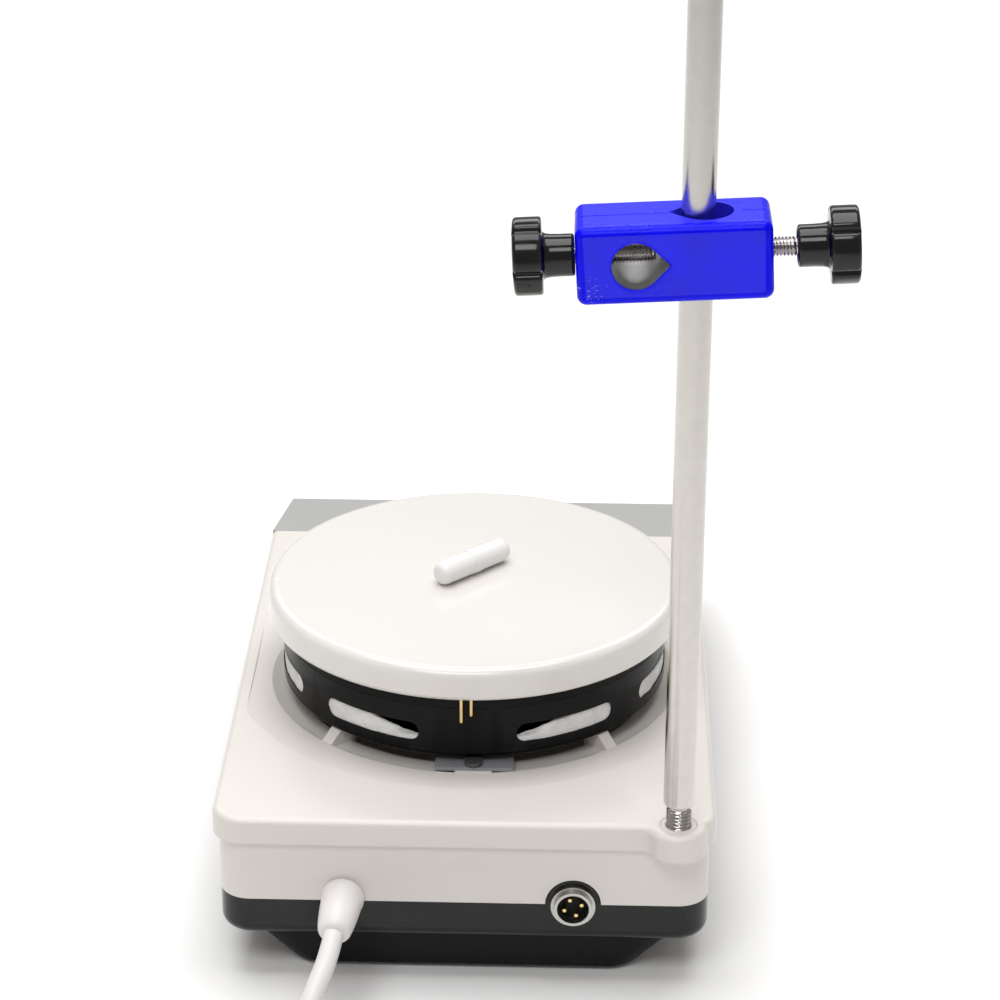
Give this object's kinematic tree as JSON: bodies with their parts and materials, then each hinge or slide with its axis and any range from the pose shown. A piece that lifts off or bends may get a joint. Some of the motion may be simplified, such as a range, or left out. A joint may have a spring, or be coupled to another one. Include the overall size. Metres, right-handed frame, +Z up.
{
  "type": "magnetic stirrer",
  "caption": "Magnetic stirrer with round heated plate, screwed-in support rod, boss-head clamp, sensor socket and mains cord, seen from its rear.",
  "frame": {"origin": "on the table, on the vertical axis of the round hot plate", "axes": "+Z up along the plate's axis, -Y towards the front with the controls, +Y towards the rear with the cord, rod and socket, +X to the right seen from the front"},
  "size_m": [0.2691, 0.4572, 0.398],
  "materials": {
    "off_white_paint": "semi-gloss",
    "black_band": "gloss",
    "black_tray": "satin",
    "grey_panel": "satin",
    "foot_rubber": "matte",
    "zinc_steel": "satin",
    "plate_ceramic": "gloss",
    "mica_heater": "satin",
    "fibre_felt": "matte",
    "shield_black": "gloss",
    "collar_white": "matte",
    "standoff_steel": "satin",
    "gilt_lead": "gloss",
    "tab_grey": "satin",
    "black_screw": "satin",
    "motor_case": "satin",
    "shaft_steel": "bright",
    "carrier_aluminium": "satin",
    "magnet_nickel": "bright",
    "board_green": "satin",
    "core_iron": "matte",
    "can_aluminium": "satin",
    "terminal_green": "satin",
    "display_glass": "gloss",
    "display_black": "satin",
    "knob_black": "satin",
    "pointer_white": "satin",
    "switch_black": "satin",
    "socket_nickel": "satin",
    "socket_black": "satin",
    "white_rubber": "satin",
    "tie_white": "satin",
    "plug_white": "satin",
    "plug_brass": "bright",
    "insert_brass": "satin",
    "rod_steel": "brushed",
    "clamp_metal": "cast",
    "blue_coat": "gloss",
    "stud_nickel": "bright",
    "grip_black": "gloss",
    "ptfe_white": "satin"
  },
  "bodies": {
    "stand": {"top_housing": "off_white_paint", "base_pan": "black_band", "bottom_cover": "black_tray", "front_panel": "grey_panel", "foot_pads": "foot_rubber", "cover_screws": "zinc_steel", "shield_screws": "zinc_steel", "motor_screws": "zinc_steel", "motor_bracket": "zinc_steel", "sensor_socket_nut": "zinc_steel", "control_pots": "zinc_steel", "hot_plate": "plate_ceramic", "heater_element": "mica_heater", "insulation_pad": "fibre_felt", "heat_shield": "shield_black", "inner_collar": "collar_white", "plate_standoffs": "standoff_steel", "sensor_leads": "gilt_lead", "sensor_socket_pins": "gilt_lead", "earth_tab": "tab_grey", "earth_screw": "black_screw", "motor": "motor_case", "heatsink": "carrier_aluminium", "power_board": "board_green", "control_board": "board_green", "transformer": "core_iron", "capacitors": "can_aluminium", "terminal_block": "terminal_green", "display_window": "display_glass", "display_module": "display_black", "rocker_frame": "switch_black", "sensor_socket_shell": "socket_nickel", "sensor_socket_insert": "socket_black", "cable_gland": "white_rubber", "power_cord": "white_rubber", "power_cord_coil": "white_rubber", "power_cord_tail": "white_rubber", "cord_ties": "tie_white", "plug_body": "plug_white", "plug_blades": "plug_brass", "rod_insert": "insert_brass"},
    "rotor": {"motor_shaft": "shaft_steel", "magnet_carrier": "carrier_aluminium", "drive_magnets": "magnet_nickel"},
    "bar": {"stir_bar": "ptfe_white", "stir_bar_magnet": "magnet_nickel"},
    "heat_control": {"heat_pot_shaft": "shaft_steel", "heat_knob": "knob_black", "heat_knob_pointer": "pointer_white"},
    "speed_control": {"speed_pot_shaft": "shaft_steel", "speed_knob": "knob_black", "speed_knob_pointer": "pointer_white"},
    "rocker": {"rocker_button": "switch_black"},
    "rod": {"support_rod": "rod_steel"},
    "clamp": {"clamp_block": "clamp_metal", "clamp_coat": "blue_coat"},
    "left_screw": {"clamp_stud_left": "stud_nickel"},
    "left_knob": {"clamp_knob_left": "grip_black"},
    "right_screw": {"clamp_stud_right": "stud_nickel"},
    "right_knob": {"clamp_knob_right": "grip_black"}
  },
  "joints": [
    {"name": "magnet_spin", "type": "hinge", "parent": "stand", "child": "rotor", "pos_m": [0, 0, 0.06], "axis": [0, 0, 1], "continuous": true},
    {"name": "bar_spin", "type": "hinge", "parent": "stand", "child": "bar", "pos_m": [0.0009, -0.002, 0.1], "axis": [0, 0, 1], "continuous": true},
    {"name": "heat_turn", "type": "hinge", "parent": "stand", "child": "heat_control", "pos_m": [-0.041, -0.17589, 0.0272], "axis": [0, -0.9827, 0.1851], "range_deg": [-270, 0]},
    {"name": "speed_turn", "type": "hinge", "parent": "stand", "child": "speed_control", "pos_m": [0.041, -0.17589, 0.0272], "axis": [0, -0.9827, 0.1851], "range_deg": [-270, 0]},
    {"name": "rocker_tilt", "type": "hinge", "parent": "stand", "child": "rocker", "pos_m": [0.065, -0.17471, 0.02698], "axis": [1, 0, 0], "range_deg": [0, 16]},
    {"name": "rod_turn", "type": "hinge", "parent": "stand", "child": "rod", "pos_m": [-0.0677, 0.1019, 0.06], "axis": [0, 0, 1], "range_deg": [-180, 180]},
    {"name": "clamp_slide", "type": "slide", "parent": "rod", "child": "clamp", "axis": [0, 0, 1], "range_m": [-0.16, 0.125]},
    {"name": "left_screw_slide", "type": "slide", "parent": "clamp", "child": "left_screw", "axis": [0.9984, 0, -0.0558], "range_m": [0, 0.012]},
    {"name": "left_knob_turn", "type": "hinge", "parent": "left_screw", "child": "left_knob", "pos_m": [-0.02277, 0.1019, 0.24879], "axis": [0.9984, 0, -0.0558], "range_deg": [0, 4356]},
    {"name": "right_screw_slide", "type": "slide", "parent": "clamp", "child": "right_screw", "axis": [-0.9984, 0, 0.0558], "range_m": [0, 0.006]},
    {"name": "right_knob_turn", "type": "hinge", "parent": "right_screw", "child": "right_knob", "pos_m": [-0.10764, 0.1019, 0.25353], "axis": [-0.9984, 0, 0.0558], "range_deg": [0, 2196]}
  ],
  "couplings": [
    {"joint": "bar_spin", "follows": "magnet_spin", "ratio": 1},
    {"joint": "left_knob_turn", "follows": "left_screw_slide", "rad_per_m": 6283.2},
    {"joint": "right_knob_turn", "follows": "right_screw_slide", "rad_per_m": 6283.2}
  ]
}
